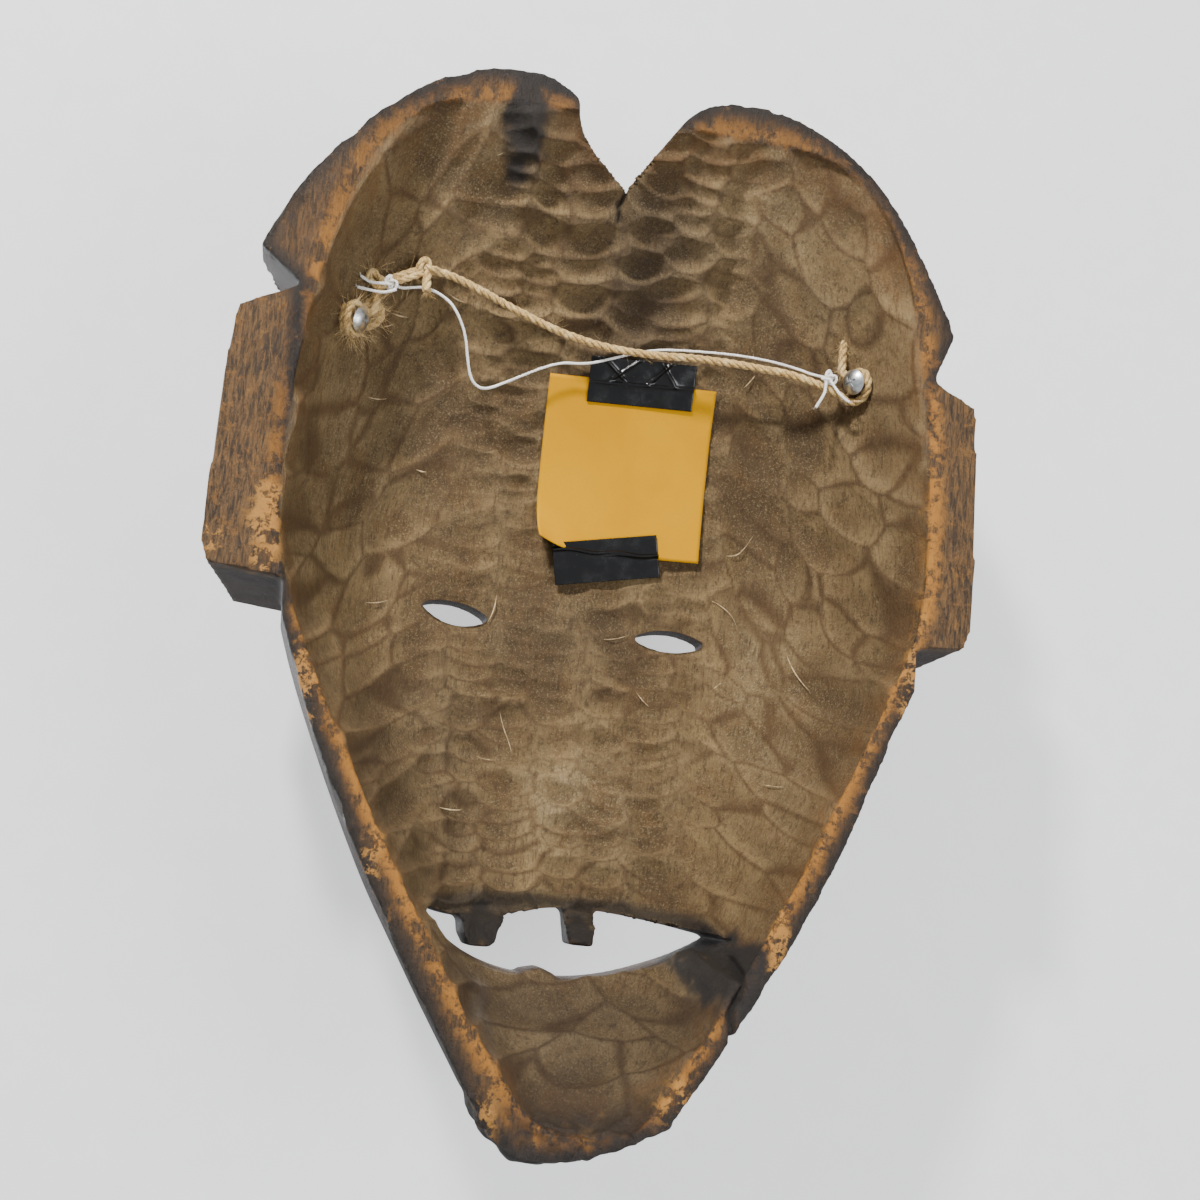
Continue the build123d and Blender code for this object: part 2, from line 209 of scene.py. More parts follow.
def facets(x, z, cuts, crest_width):
    """Overlapping scoops of a gouge. Each cut is X, Z, angle, half length, half width and level.
    A scoop sags in its middle, and ends more steeply below than above.
    Gives the height above the scoops' floor, and how near each point is to a crest."""
    best = np.full(len(x), 1e9)
    second = np.full(len(x), 1e9)
    for cut_x, cut_z, angle, half_length, half_width, level in cuts:
        reach = 2.2 * half_length
        near = np.nonzero((np.abs(x - cut_x) < reach) & (np.abs(z - cut_z) < reach))[0]
        dx, dz = x[near] - cut_x, z[near] - cut_z
        along = (dx * math.cos(angle) + dz * math.sin(angle)) / half_length
        aside = (dz * math.cos(angle) - dx * math.sin(angle)) / half_width - 0.4 * along ** 2
        aside = np.where(aside > 0, 0.8 * aside, 1.7 * aside)
        height = along ** 2 + aside ** 2 + level
        closer = height < best[near]
        second[near] = np.where(closer, best[near], np.minimum(second[near], height))
        best[near] = np.minimum(best[near], height)
    crest = 1.0 - smooth(second - best, 0.0, crest_width)
    return np.minimum(best, 1.7), crest


def column_cuts(seed, columns):
    """Short cuts stacked in upright columns, in the middle of the hollow."""
    rng = np.random.default_rng(seed)
    cuts = []
    for column in columns:
        z = -128.0
        while z < 212.0:
            size = rng.uniform(0.75, 1.3)
            z += 6.6 * size
            x = column + 0.05 * z + 5.0 * math.sin(z / 31.0 + column) + rng.normal(0, 1.6)
            lean = 0.10 * math.sin(z / 45.0 + 0.7 * column) + rng.normal(0, 0.10)
            if rng.random() < 0.84:
                cuts.append((x, z, lean, 11.2 * size, 5.4 * size, rng.uniform(0.0, 0.6)))
    return cuts


def wall_cuts(seed, spacing_x, spacing_z):
    """Long cuts that lean along the hollow's side walls, and loose ones elsewhere."""
    rng = np.random.default_rng(seed)
    cuts = []
    for cell_z in np.arange(-215.0, 225.0, spacing_z):
        for cell_x in np.arange(-145.0, 145.0, spacing_x):
            x = cell_x + rng.uniform(0.0, 1.0) * spacing_x
            z = cell_z + rng.uniform(0.0, 1.0) * spacing_z
            side = float(smooth(abs(x), 30.0, 90.0))
            angle = -math.copysign(1.1, x) * side + rng.normal(0, 0.2 + 0.25 * (1.0 - side))
            size = rng.uniform(0.7, 1.35)
            cuts.append((x, z, angle, 0.95 * spacing_x * size, 0.8 * spacing_z * size,
                         rng.uniform(0.0, 0.8)))
    return cuts


# Mesh helpers

def new_object(name, mesh):
    made = bpy.data.objects.new(name, mesh)
    bpy.context.scene.collection.objects.link(made)
    return made


def shade_smooth(mesh):
    for polygon in mesh.polygons:
        polygon.use_smooth = True


def mesh_from(name, points, faces):
    """A smooth shaded mesh from points in metres."""
    mesh = bpy.data.meshes.new(name)
    mesh.from_pydata([tuple(p) for p in points], [], faces)
    mesh.update()
    shade_smooth(mesh)
    return mesh


def read_vertices(mesh):
    flat = np.empty(len(mesh.vertices) * 3, np.float32)
    mesh.vertices.foreach_get("co", flat)
    return flat.reshape(-1, 3).astype(float)


def write_vertices(mesh, points):
    mesh.vertices.foreach_set("co", points.astype(np.float32).ravel())
    mesh.update()


def read_normals(mesh):
    flat = np.empty(len(mesh.vertices) * 3, np.float32)
    mesh.vertex_normals.foreach_get("vector", flat)
    return flat.reshape(-1, 3).astype(float)


def set_attribute(mesh, name, values):
    attribute = mesh.attributes.new(name, "FLOAT", "POINT")
    attribute.data.foreach_set("value", np.asarray(values, np.float32))


def applied(piece):
    """The piece's mesh with its modifiers applied."""
    graph = bpy.context.evaluated_depsgraph_get()
    mesh = bpy.data.meshes.new_from_object(piece.evaluated_get(graph))
    piece.modifiers.clear()
    return mesh


def rider(piece, slot, *nodes, material=None):
    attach(piece, "root")
    if nodes:
        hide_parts(*nodes)
    if material:
        piece.data.materials.clear()
        piece.data.materials.append(material)
    return piece


# Material helpers

def linear(red, green, blue):
    """An 8 bit screen colour as a linear one."""
    def one(value):
        value /= 255.0
        return value / 12.92 if value <= 0.04045 else ((value + 0.055) / 1.055) ** 2.4
    return (one(red), one(green), one(blue), 1.0)


class Nodes:
    """A short way to write a material's nodes."""

    def __init__(self, name):
        self.material = bpy.data.materials.new(name)
        self.material.use_nodes = True
        self.tree = self.material.node_tree
        self.shader = self.tree.nodes["Principled BSDF"]
        self.place = self.tree.nodes.new("ShaderNodeTexCoord").outputs["Object"]

    def link(self, source, socket):
        if isinstance(source, (int, float, tuple)):
            socket.default_value = source
        else:
            self.tree.links.new(source, socket)

    def attribute(self, name):
        node = self.tree.nodes.new("ShaderNodeAttribute")
        node.attribute_name = name
        return node.outputs["Fac"]

    def stretch(self, x, y, z):
        node = self.tree.nodes.new("ShaderNodeMapping")
        node.inputs["Scale"].default_value = (x, y, z)
        self.link(self.place, node.inputs["Vector"])
        return node.outputs["Vector"]

    def noise(self, vector, scale=1.0, detail=4.0, roughness=0.55, distortion=0.0):
        node = self.tree.nodes.new("ShaderNodeTexNoise")
        self.link(vector, node.inputs["Vector"])
        node.inputs["Scale"].default_value = scale
        node.inputs["Detail"].default_value = detail
        node.inputs["Roughness"].default_value = roughness
        node.inputs["Distortion"].default_value = distortion
        return node.outputs["Fac"]

    def math(self, operation, a, b=0.0):
        node = self.tree.nodes.new("ShaderNodeMath")
        node.operation = operation
        self.link(a, node.inputs[0])
        self.link(b, node.inputs[1])
        return node.outputs["Value"]

    def between(self, value, low, high):
        node = self.tree.nodes.new("ShaderNodeMapRange")
        node.interpolation_type = "SMOOTHSTEP"
        self.link(value, node.inputs["Value"])
        node.inputs["From Min"].default_value = low
        node.inputs["From Max"].default_value = high
        return node.outputs["Result"]

    def mix(self, share, a, b, blend="MIX"):
        node = self.tree.nodes.new("ShaderNodeMix")
        node.data_type = "RGBA"
        node.blend_type = blend
        self.link(share, node.inputs["Factor"])
        self.link(a, node.inputs["A"])
        self.link(b, node.inputs["B"])
        return node.outputs["Result"]

    def bump(self, height, distance, strength=1.0, normal=None):
        node = self.tree.nodes.new("ShaderNodeBump")
        node.inputs["Distance"].default_value = distance
        node.inputs["Strength"].default_value = strength
        self.link(height, node.inputs["Height"])
        if normal is not None:
            self.link(normal, node.inputs["Normal"])
        return node.outputs["Normal"]

    def finish(self, colour, roughness, normal=None, **constants):
        self.link(colour, self.shader.inputs["Base Color"])
        self.link(roughness, self.shader.inputs["Roughness"])
        if normal is not None:
            self.link(normal, self.shader.inputs["Normal"])
        for name, value in constants.items():
            self.shader.inputs[name.replace("_", " ")].default_value = value
        return self.material


# The carved mask

VOXEL = 1.15
WOOD_TONE = 0.88
MELT_STEPS = 3
CUT_COLUMNS = (-62.0, -41.0, -20.0, 2.0, 23.0, 44.0, 64.0)
HAIRLINE_Z = 98.0
EYES = ((50.0, 1.5), (-48.5, -0.2))
MOUTH_CENTRE_X = -7.0
CHIN_BREAK_Z = -196.0
OUTLINE = (  # of the rim, without the ears
    (132, 114), (149, 128), (143, 147), (131, 165), (118, 183), (102, 198), (70, 217), (45, 220.5),
    (26.5, 212), (18.5, 195), (7.5, 187.5), (0.5, 182), (-9, 195.5), (-20, 211), (-34, 220),
    (-58, 219), (-80, 213), (-109, 193), (-129, 163), (-145, 133), (-137, 113), (-135, -22),
    (-125, -48), (-101, -106), (-75, -155), (-68, -166), (-45, -203), (-21, -213), (2, -218),
    (17, -215), (30, -202), (51, -168), (84, -111), (113, -49), (124, -20), (132, 114),
)
CRACKS = (  # lines and their widths
    (((-68.0, -136.0), (-70.0, -146.0), (-66.0, -156.0), (-67.0, -167.0)), 1.9),
    (((0.5, 183.0), (2.5, 177.0), (1.5, 172.0)), 1.6),
)
BURNS_AND_TEETH_SHADE = (  # X, Z, half width, half height: burnt patches, and painted shade on the mouth's teeth in the last two
    (47.0, 200.0, 11.0, 24.0), (38.0, 217.0, 18.0, 7.0), (-66.0, -140.0, 15.0, 16.0),
    (-72.0, -150.0, 8.0, 16.0), (-38.0, -128.0, 18.0, 4.0), (28.0, -133.0, 14.0, 11.0),
    (-16.0, -132.0, 8.0, 9.0),
)
PAINTED_SHADE_SPOTS = (  # painted shade: X, Z, half width, half height, strength, in the hollow
    (-13.0, 150.0, 24.0, 46.0, 0.60), (56.0, -58.0, 26.0, 44.0, 0.38), (0.0, -6.0, 46.0, 20.0, 0.30),
    (42.0, -98.0, 22.0, 22.0, 0.34), (76.0, 86.0, 26.0, 40.0, 0.16), (-40.0, -105.0, 24.0, 14.0, 0.15),
)
# Painted light: paler patches in the hollow. X, Z, half width, half height, strength
PAINTED_LIGHT_SPOTS = (
    (-92.0, -26.0, 16.0, 40.0, 0.45), (-16.0, -74.0, 26.0, 20.0, 0.45), (62.0, 188.0, 22.0, 20.0, 0.40),
    (-62.0, 180.0, 26.0, 24.0, 0.20), (108.0, 60.0, 12.0, 40.0, 0.25),
)
BARE = (  # pale worn patches
    (133.0, 12.0, 7.0, 24.0), (26.0, -204.0, 6.0, 13.0), (-44.0, -190.0, 7.0, 12.0),
    (-83.0, -132.0, 5.0, 22.0), (112.0, -48.0, 6.0, 26.0), (-132.0, 20.0, 5.0, 60.0),
    (154.0, 6.0, 4.0, 8.0), (80.0, -118.0, 5.0, 20.0),
)


def near_line(x, z, line, width):
    """1 on a broken line and 0 beyond width from it."""
    nearest = np.full(len(x), 1e9)
    for (ax, az), (bx, bz) in zip(line, line[1:]):
        length = (bx - ax) ** 2 + (bz - az) ** 2
        t = np.clip(((x - ax) * (bx - ax) + (z - az) * (bz - az)) / length, 0.0, 1.0)
        nearest = np.minimum(nearest, np.hypot(x - ax - t * (bx - ax), z - az - t * (bz - az)))
    return 1.0 - smooth(nearest, 0.0, width)


def patches(x, z, spots, ragged):
    found = np.zeros(len(x))
    for spot_x, spot_z, half_x, half_z in spots:
        distance = np.hypot((x - spot_x) / half_x, (z - spot_z) / half_z) + 0.35 * ragged
        found = np.maximum(found, 1.0 - smooth(distance, 0.6, 1.25))
    return found


def soft_spots(x, z, spots):
    found = np.zeros(len(x))
    for spot_x, spot_z, half_x, half_z, strength in spots:
        spot = strength * np.exp(-(((x - spot_x) / half_x) ** 2) - ((z - spot_z) / half_z) ** 2)
        found = np.maximum(found, spot)
    return found


def hair_rows(x, z):
    """Height of the carved rows of hair: arcs round each lobe, cut into short locks."""
    s = np.abs(x - centre_x(z)) - 62.0
    rise = z - 84.0
    radius = np.hypot(s, rise)
    turn = np.arctan2(s, rise)
    row = radius / 11.0
    lock = turn * (2.0 + np.floor(row)) * 2.4 + 0.5 * (np.floor(row) % 2)
    across_row = np.abs((row % 1.0) - 0.5) * 2.0
    across_lock = np.abs((lock % 1.0) - 0.5) * 2.0
    return 1.0 - np.maximum(smooth(across_row, 0.55, 1.0), 0.7 * smooth(across_lock, 0.72, 1.0))


class Surfaces:
    """Where a mesh's vertices lie, and shares from 0 to 1 that say on which surface they are."""

    def __init__(self, mesh):
        self.points = read_vertices(mesh) * 1000.0 + np.array([0.0, 0.0, HANG_Z])
        self.normals = normals = read_normals(mesh)
        self.x, self.z = x, z = self.points[:, 0].copy(), self.points[:, 2].copy()
        self.depth = depth = -self.points[:, 1]
        slope_x, slope_z = hollow_slope(x, z)
        steep = np.sqrt(1.0 + slope_x ** 2 + slope_z ** 2)
        into_wood = (depth - hollow_depth(x, z)) / steep
        facing = (normals[:, 0] * slope_x + normals[:, 1] + normals[:, 2] * slope_z) / steep
        self.hollow = (1.0 - smooth(np.abs(into_wood), 1.6, 3.2)) * smooth(facing, 0.35, 0.75)
        self.hollow *= smooth(depth, 0.0, 2.5)
        self.past_rim = np.where(hollow_depth(x, z) < 0, -hollow_depth(x, z) / steep, 0.0)
        self.ear = smooth(np.abs(x - 0.5), 133.0, 139.0) * smooth(z, -14.0, -6.0)
        self.ear *= 1 - smooth(z, 104, 112)
        self.shallow = 1.0 - smooth(depth, 2.0, 10.0)
        self.front = smooth(-normals[:, 1], 0.1, 0.45)
        self.hair = smooth(z, HAIRLINE_Z + 8.0, HAIRLINE_Z + 12.0) * self.front


def follow_face(at):
    """Moves the face onto its formula where the solid only comes near it."""
    miss = face_depth(at.x, at.z) - at.depth
    on_face = at.front * (1.0 - smooth(at.z, HAIRLINE_Z - 8.0, HAIRLINE_Z - 2.0))
    on_face *= (1.0 - smooth(np.abs(miss), 5.0, 8.0)) * (1.0 - smooth(np.abs(at.x), 112.0, 124.0))
    at.depth = at.depth + miss * on_face


def gouge_marks(at):
    """Heights of the wide cuts and of all cuts over their floors, and where their crests are."""
    wide, wide_crest = facets(at.x, at.z, wall_cuts(3, 25.0, 13.0), 0.35)
    fine, fine_crest = facets(at.x, at.z, column_cuts(5, CUT_COLUMNS), 0.85)
    middle = 1.0 - smooth(np.abs(at.x) + 0.05 * np.abs(at.z), 48.0, 76.0)
    middle *= 0.95 + 0.4 * value_noise(at.points, 33.0, 10)
    middle *= 1.0 - 0.5 * np.exp(-(((at.z - 45.0) / 42.0) ** 2))
    middle = np.clip(middle, 0.0, 1.0) * smooth(at.z, -140.0, -122.0)
    scoops = (3.1 - 2.6 * middle) * (wide - 0.75) + 3.4 * middle * (fine - 0.7)
    return wide, scoops, np.maximum(wide_crest * (1 - middle), fine_crest * middle)


def near_eyes(at):
    near = np.zeros(len(at.x))
    for eye_x, eye_z in EYES:
        near += np.exp(-(((at.x - eye_x) / 20.0) ** 2) - ((at.z - eye_z - 3.0) / 8.5) ** 2)
    return near


def carving(at, wide, scoops):
    """How far the hand carved surface stands over the plain one: cuts, lumps and hair."""
    lumps = value_noise(at.points, 38.0, 11)
    grit = value_noise(at.points, 5.0, 12)
    flutes = 0.9 * np.cos((at.x + 0.06 * at.z) * 2.0 * math.pi / 27.0) * smooth(at.z, 95.0, 150.0)
    raised = scoops + 0.8 * lumps + 0.2 * grit + flutes * (1.0 - smooth(abs(at.x), 60, 95))
    papered = (np.abs(at.x - NOTE_CENTRE[0]) < 42.0) * (at.z > 16.0) * (at.z < 124.0)
    raised = at.hollow * np.where(papered, np.minimum(raised, 1.3), raised)
    raised *= 1.0 - 0.85 * np.clip(1.6 * near_eyes(at), 0.0, 1.0)
    raised += at.front * (1.0 - at.hair) * (0.22 * (wide - 0.9) + 0.4 * lumps)
    raised += at.hair * (2.3 * (hair_rows(at.x, at.z) - 0.6) + 0.3 * grit)
    raised += (1.0 - at.hollow) * (1.0 - at.front) * 0.5 * lumps
    return raised


def broken_chin(at):
    return (1.0 - smooth(at.z, CHIN_BREAK_Z - 8.0, CHIN_BREAK_Z + 6.0)) * (1.0 - 0.7 * at.front)


def cracks(at):
    found = np.zeros(len(at.x))
    for line, width in CRACKS:
        found = np.maximum(found, near_line(at.x, at.z, line, width))
    return found * (1.0 - at.front)


def damage(at):
    """Chips along the outer edge, the broken chin and the cracks, as heights over the surface."""
    outer_edge = at.shallow * smooth(at.past_rim, 3.0, 9.0) * (1.0 - 0.8 * at.ear)
    chip = np.clip(value_noise(at.points, 13.0, 13) - 0.15, 0.0, None)
    chip += 0.5 * np.clip(value_noise(at.points, 4.5, 14) - 0.2, 0.0, None)
    crumbled = 1.6 * value_noise(at.points, 8.0, 15) + 0.9 * value_noise(at.points, 3.6, 16)
    return broken_chin(at) * crumbled - 2.2 * outer_edge * chip - 2.0 * cracks(at)


def over_lip(at):
    """The bevel over the mouth: 1 at its edge and 0 above it."""
    lip = -124.0 - 0.0011 * (at.x - MOUTH_CENTRE_X) ** 2
    rise = np.clip(1.0 - (at.z - lip) / 13.0, 0.0, 1.0) * smooth(at.z, -132.0, -127.0)
    return rise * (1.0 - smooth(np.abs(at.x - MOUTH_CENTRE_X), 56.0, 66.0))


def cut_back(at):
    """How much deeper the rim lies where it falls away and waves, and the hollow round the eyes,
    over the mouth and inside the rim."""
    fall = 2.2 * smooth(at.past_rim, 5.0, 14.0) * (1.0 - at.ear)
    fall += 0.9 * value_noise(at.points, 45.0, 17)
    fall += 0.5 * value_noise(at.points, 11.0, 20) + 1.8 * bump(at.past_rim, 4.5)
    deeper = at.shallow * (1.0 - at.hollow) * fall + 1.8 * at.hollow * bump(at.depth, 4.5)
    return deeper + 3.6 * at.hollow * near_eyes(at) + 7.0 * at.hollow * over_lip(at) ** 2


def burn_and_shade_share(at, ragged):
    # Burns, with painted shade on the mouth's teeth.
    burn_and_shade = patches(at.x, at.z, BURNS_AND_TEETH_SHADE, ragged) * (1.0 - at.front)
    # Dark along the bevel over the mouth.
    burn_and_shade = np.maximum(burn_and_shade, at.hollow * smooth(over_lip(at), 0.25, 0.7) * 0.85)
    return np.maximum(burn_and_shade, broken_chin(at) * 0.75 * (1.0 - smooth(ragged, 0.1, 0.9)))


def mark_colours(mesh, at, scoops, crest):
    """Stores what the wood's material needs to know of each vertex."""
    x, z, hollow, shallow = at.x, at.z, at.hollow, at.shallow
    ragged = value_noise(at.points, 7.0, 18) + 0.5 * value_noise(at.points, 3.0, 19)
    # Painted shade: darker towards the chin and on the wearer's right wall.
    painted_shade = 0.66 * (1.0 - smooth(z, -165.0, -128.0)) + 0.14 * smooth(-x, 60.0, 110.0)
    marks = {
        "hollow": hollow,
        "crest": hollow * crest,
        # Also gives painted light and shade on the gouge marks.
        "height": scoops,
        "rim": shallow * (1.0 - 0.6 * hollow),
        "rubbed": (1.0 - smooth(at.past_rim, 2.0, 7.0)) * (1.0 - 0.5 * smooth(z, 90, 170)),
        "rim_edge": shallow * near_line(x, z, OUTLINE, 9.0) * (1.0 - at.ear),
        # Painted shade, with the darker patches added.
        "painted_shade": np.maximum(painted_shade, soft_spots(x, z, PAINTED_SHADE_SPOTS)),
        # Painted light in paler patches.
        "pale": soft_spots(x, z, PAINTED_LIGHT_SPOTS),
        "near_rim": hollow * (1.0 - smooth(at.depth, 2.0, 26.0)),
        "ear": at.ear * shallow * smooth(at.normals[:, 1], 0.5, 0.8),
        # Burns, with painted shade on the mouth's teeth.
        "burn_and_shade": burn_and_shade_share(at, ragged),
        "bare": patches(x, z, BARE, ragged) * shallow * (1.0 - 0.6 * hollow),
        "crack": cracks(at),
        "hair": at.hair,
    }
    for name, values in marks.items():
        set_attribute(mesh, name, values)


def sculpt(mesh):
    """Gives the plain solid its hand carved surface, and marks what its material needs."""
    at = Surfaces(mesh)
    follow_face(at)
    wide, scoops, crest = gouge_marks(at)
    raised = carving(at, wide, scoops) + damage(at)
    at.points[:, 1] = -(at.depth + cut_back(at))
    at.points += at.normals * raised[:, None]
    write_vertices(mesh, metres(at.points))
    mark_colours(mesh, at, scoops, crest)


def stain_of(red, green, blue):
    """A wood colour, darkened to suit the scene's bright light."""
    return tuple(WOOD_TONE * value for value in linear(red, green, blue)[:3]) + (1.0,)


def inside_wood(m, cloud, patch, flake, speck, grain):
    """Bare weathered wood, with dark seams between the gouge's cuts, painted light and shade on the gouge
    marks, and painted light and shade in patches.
    """
    crest, height = m.attribute("crest"), m.attribute("height")
    seam = m.math("MULTIPLY", crest, m.between(cloud, 0.25, 0.5))
    near_rim = m.math("MULTIPLY", m.attribute("near_rim"), m.between(patch, 0.3, 0.7))
    layers = (  # share, strength, colour
        (m.between(patch, 0.45, 0.7), 0.5, stain_of(114, 82, 42)),
        # Paler on the gouge marks' tops, partly wear and partly painted light, and darker in their floors,
        # as painted shade.
        (m.between(height, -0.2, 1.6), 0.26, stain_of(168, 143, 100)),
        (m.between(height, -0.2, -1.5), 0.45, stain_of(78, 58, 32)),
        (m.between(grain, 0.48, 0.62), 0.6, stain_of(62, 44, 22)),
        (m.between(flake, 0.53, 0.64), 0.5, stain_of(64, 46, 24)),
        (m.between(speck, 0.53, 0.62), 0.4, stain_of(176, 154, 112)),
        (seam, 0.72, stain_of(70, 44, 14)),
    )
    colour = m.mix(m.between(cloud, 0.34, 0.66), stain_of(94, 72, 40), stain_of(148, 122, 80))
    for share, strength, tint in layers:
        colour = m.mix(m.math("MULTIPLY", share, strength), colour, tint)
    # Painted light in paler patches, then painted shade towards the chin, on the wearer's right wall and in
    # darker patches.
    colour = m.mix(m.attribute("pale"), colour, (2.2, 2.5, 3.2, 1.0), "MULTIPLY")
    colour = m.mix(m.attribute("painted_shade"), colour, (0.28, 0.29, 0.38, 1.0), "MULTIPLY")
    return m.mix(m.math("MULTIPLY", near_rim, 0.5), colour, stain_of(118, 82, 40))


def outside_wood(m, cloud, flake, grain):
    """Dark stain, worn to brown on what stands proud."""
    proud = m.tree.nodes.new("ShaderNodeNewGeometry").outputs["Pointiness"]
    worn = m.math("MULTIPLY", m.between(proud, 0.51, 0.57), m.between(flake, 0.35, 0.6))
    stain = m.mix(m.between(cloud, 0.35, 0.65), stain_of(36, 24, 16), stain_of(62, 40, 25))
    stain = m.mix(m.math("MULTIPLY", m.between(grain, 0.48, 0.7), 0.4), stain, stain_of(22, 15, 11))
    stain = m.mix(m.math("MULTIPLY", worn, 0.7), stain, stain_of(128, 84, 46))
    return m.mix(m.math("MULTIPLY", m.attribute("hair"), 0.45), stain, stain_of(20, 15, 12))


def rim_wood(m, stain, mottle, grain):
    """The rim over the stain: brown, rubbed to ochre near the hollow, nearly black outside."""
    ochre = m.math("MULTIPLY", m.between(mottle, 0.45, 0.54), m.attribute("rubbed"))
    rim = m.mix(m.between(grain, 0.4, 0.62), stain_of(102, 72, 36), stain_of(54, 38, 21))
    rim = m.mix(m.math("MULTIPLY", ochre, 0.7), rim, stain_of(196, 130, 44))
    edge = m.mix(m.between(mottle, 0.55, 0.62), stain_of(34, 26, 20), stain_of(100, 68, 32))
    ear = m.mix(m.between(grain, 0.38, 0.62), stain_of(116, 84, 45), stain_of(50, 36, 21))
    ear = m.mix(m.math("MULTIPLY", m.between(mottle, 0.52, 0.6), 0.4), ear, stain_of(160, 110, 48))
    ear = m.mix(m.math("MULTIPLY", ochre, 0.75), ear, stain_of(196, 130, 44))
    outside = m.mix(m.attribute("rim"), stain, rim)
    outside = m.mix(m.attribute("rim_edge"), outside, edge)
    return m.mix(m.attribute("ear"), outside, ear)


def wood_material():
    m = Nodes("carved_wood")
    cloud = m.noise(m.place, 20.0, 6.0, 0.6)
    patch = m.noise(m.place, 75.0, 5.0, 0.65, 0.4)
    flake = m.noise(m.place, 230.0, 6.0, 0.75, 0.3)
    speck = m.noise(m.place, 1100.0, 4.0, 0.75)
    grain = m.noise(m.stretch(800.0, 800.0, 120.0), 1.0, 6.0, 0.75, 0.8)
    pores = m.noise(m.stretch(1500.0, 1500.0, 220.0), 1.0, 3.0, 0.6)
    mottle = m.math("ADD", m.math("MULTIPLY", flake, 0.6), m.math("MULTIPLY", patch, 0.4))

    hollow = m.attribute("hollow")
    outside = rim_wood(m, outside_wood(m, cloud, flake, grain), mottle, grain)
    colour = m.mix(hollow, outside, inside_wood(m, cloud, patch, flake, speck, grain))
    bare = m.math("MULTIPLY", m.attribute("bare"), m.between(mottle, 0.49, 0.53))
    colour = m.mix(m.math("MULTIPLY", bare, 0.8), colour, stain_of(200, 142, 64))
    # Near black burns, with painted shade on the mouth's teeth.
    burn_and_shade = m.math("MULTIPLY", m.attribute("burn_and_shade"), m.between(patch, 0.1, 0.4))
    colour = m.mix(m.math("MULTIPLY", burn_and_shade, 0.96), colour, stain_of(30, 25, 22))
    colour = m.mix(m.math("MULTIPLY", m.attribute("crack"), 0.9), colour, stain_of(14, 10, 8))

    rough = m.mix(hollow, (0.5, 0.5, 0.5, 1.0), (0.7, 0.7, 0.7, 1.0))
    rough = m.math("ADD", rough, m.math("MULTIPLY", m.math("SUBTRACT", patch, 0.5), 0.3))
    normal = m.bump(flake, 0.0022, 0.8)
    normal = m.bump(grain, 0.0010, 0.8, normal)
    normal = m.bump(speck, 0.0009, 0.8, normal)
    normal = m.bump(pores, 0.0003, 0.35, normal)
    return m.finish(colour, rough, normal, Specular_IOR_Level=0.4)


LOOSE_SPLINTERS = 26
SPLINTERS = (  # X and Z along each of the larger ones
    ((25.7, -39.9), (23.6, -46.8), (20.4, -52.7), (18.6, -57.9)),
    ((4.6, -92.7), (2.2, -99.4), (2.0, -105.9)),
    ((-56.8, 19.8), (-64.2, 21.2), (-72.1, 17.5), (-77.2, 12.5), (-78.5, 7.9)),
    ((-67.4, 41.7), (-72.2, 40.9), (-77.8, 43.5), (-81.5, 51.5)),
    ((-67.1, -21.9), (-71.6, -18.7), (-75.8, -13.2)),
    ((35.0, -1.1), (32.0, 4.7), (32.2, 11.5)),
    ((-15.7, -2.6), (-22.6, -3.0), (-29.8, 0.8)),
    ((-106.0, -20.0), (-101.0, -12.0), (-99.0, -2.0)),
)


def scattered_splinters(rng):
    """Short torn fibres here and there on the hollow's floor and walls, but not at the eyes."""
    lines = []
    for _ in range(LOOSE_SPLINTERS):
        x, z = rng.uniform(-105, 100), rng.uniform(-100, 190)
        angle, length = rng.normal(0.0, 0.5), rng.uniform(4.0, 11.0)
        ends = np.array([math.cos(angle), math.sin(angle)]) * length / 2.0
        in_hollow = hollow_depth(x, z) > 14.0
        over_eye = abs(z - 1.0) < 12.0 and abs(abs(x) - 49.0) < 28.0
        if in_hollow and not over_eye:
            lines.append(((x - ends[0], z - ends[1]), (x, z - 0.12 * length), (x + ends[0], z + ends[1])))
    return lines


def make_splinters():
    """Torn pale fibres that the gouge left standing in the hollow."""
    rng = np.random.default_rng(41)
    parts = []
    for line in list(SPLINTERS) + scattered_splinters(rng):
        route = []
        for x, z in line:
            at, normal, _, _ = on_hollow(x, z)
            route.append(at + normal * 0.25)
        points = nurbs_points(route)
        thick = rng.uniform(0.10, 0.22) / 1000.0
        taper = np.sin(np.linspace(0.15, math.pi - 0.15, len(points)))
        parts.append(tube(points, thick * taper * 1.6, 4))
    piece = joined("torn_fibres", parts)
    m = Nodes("torn_wood")
    hair = m.noise(m.place, 500.0, 3.0)
    colour = m.mix(m.between(hair, 0.35, 0.65), linear(150, 124, 86), linear(206, 182, 142))
    rider(piece, "wood", material=m.finish(colour, 0.8))


def make_mask():
    piece = new_object("carved_mask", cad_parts["mask_body"].data.copy())
    remesh = piece.modifiers.new("remesh", "REMESH")
    remesh.mode = "VOXEL"
    remesh.voxel_size = VOXEL / 1000.0
    melt = piece.modifiers.new("melt", "SMOOTH")
    melt.factor, melt.iterations = 0.5, MELT_STEPS
    piece.data = applied(piece)
    piece.data.name = "carved_mask"
    sculpt(piece.data)
    shade_smooth(piece.data)
    return rider(piece, "wood", "mask_body", material=wood_material())


# Cords

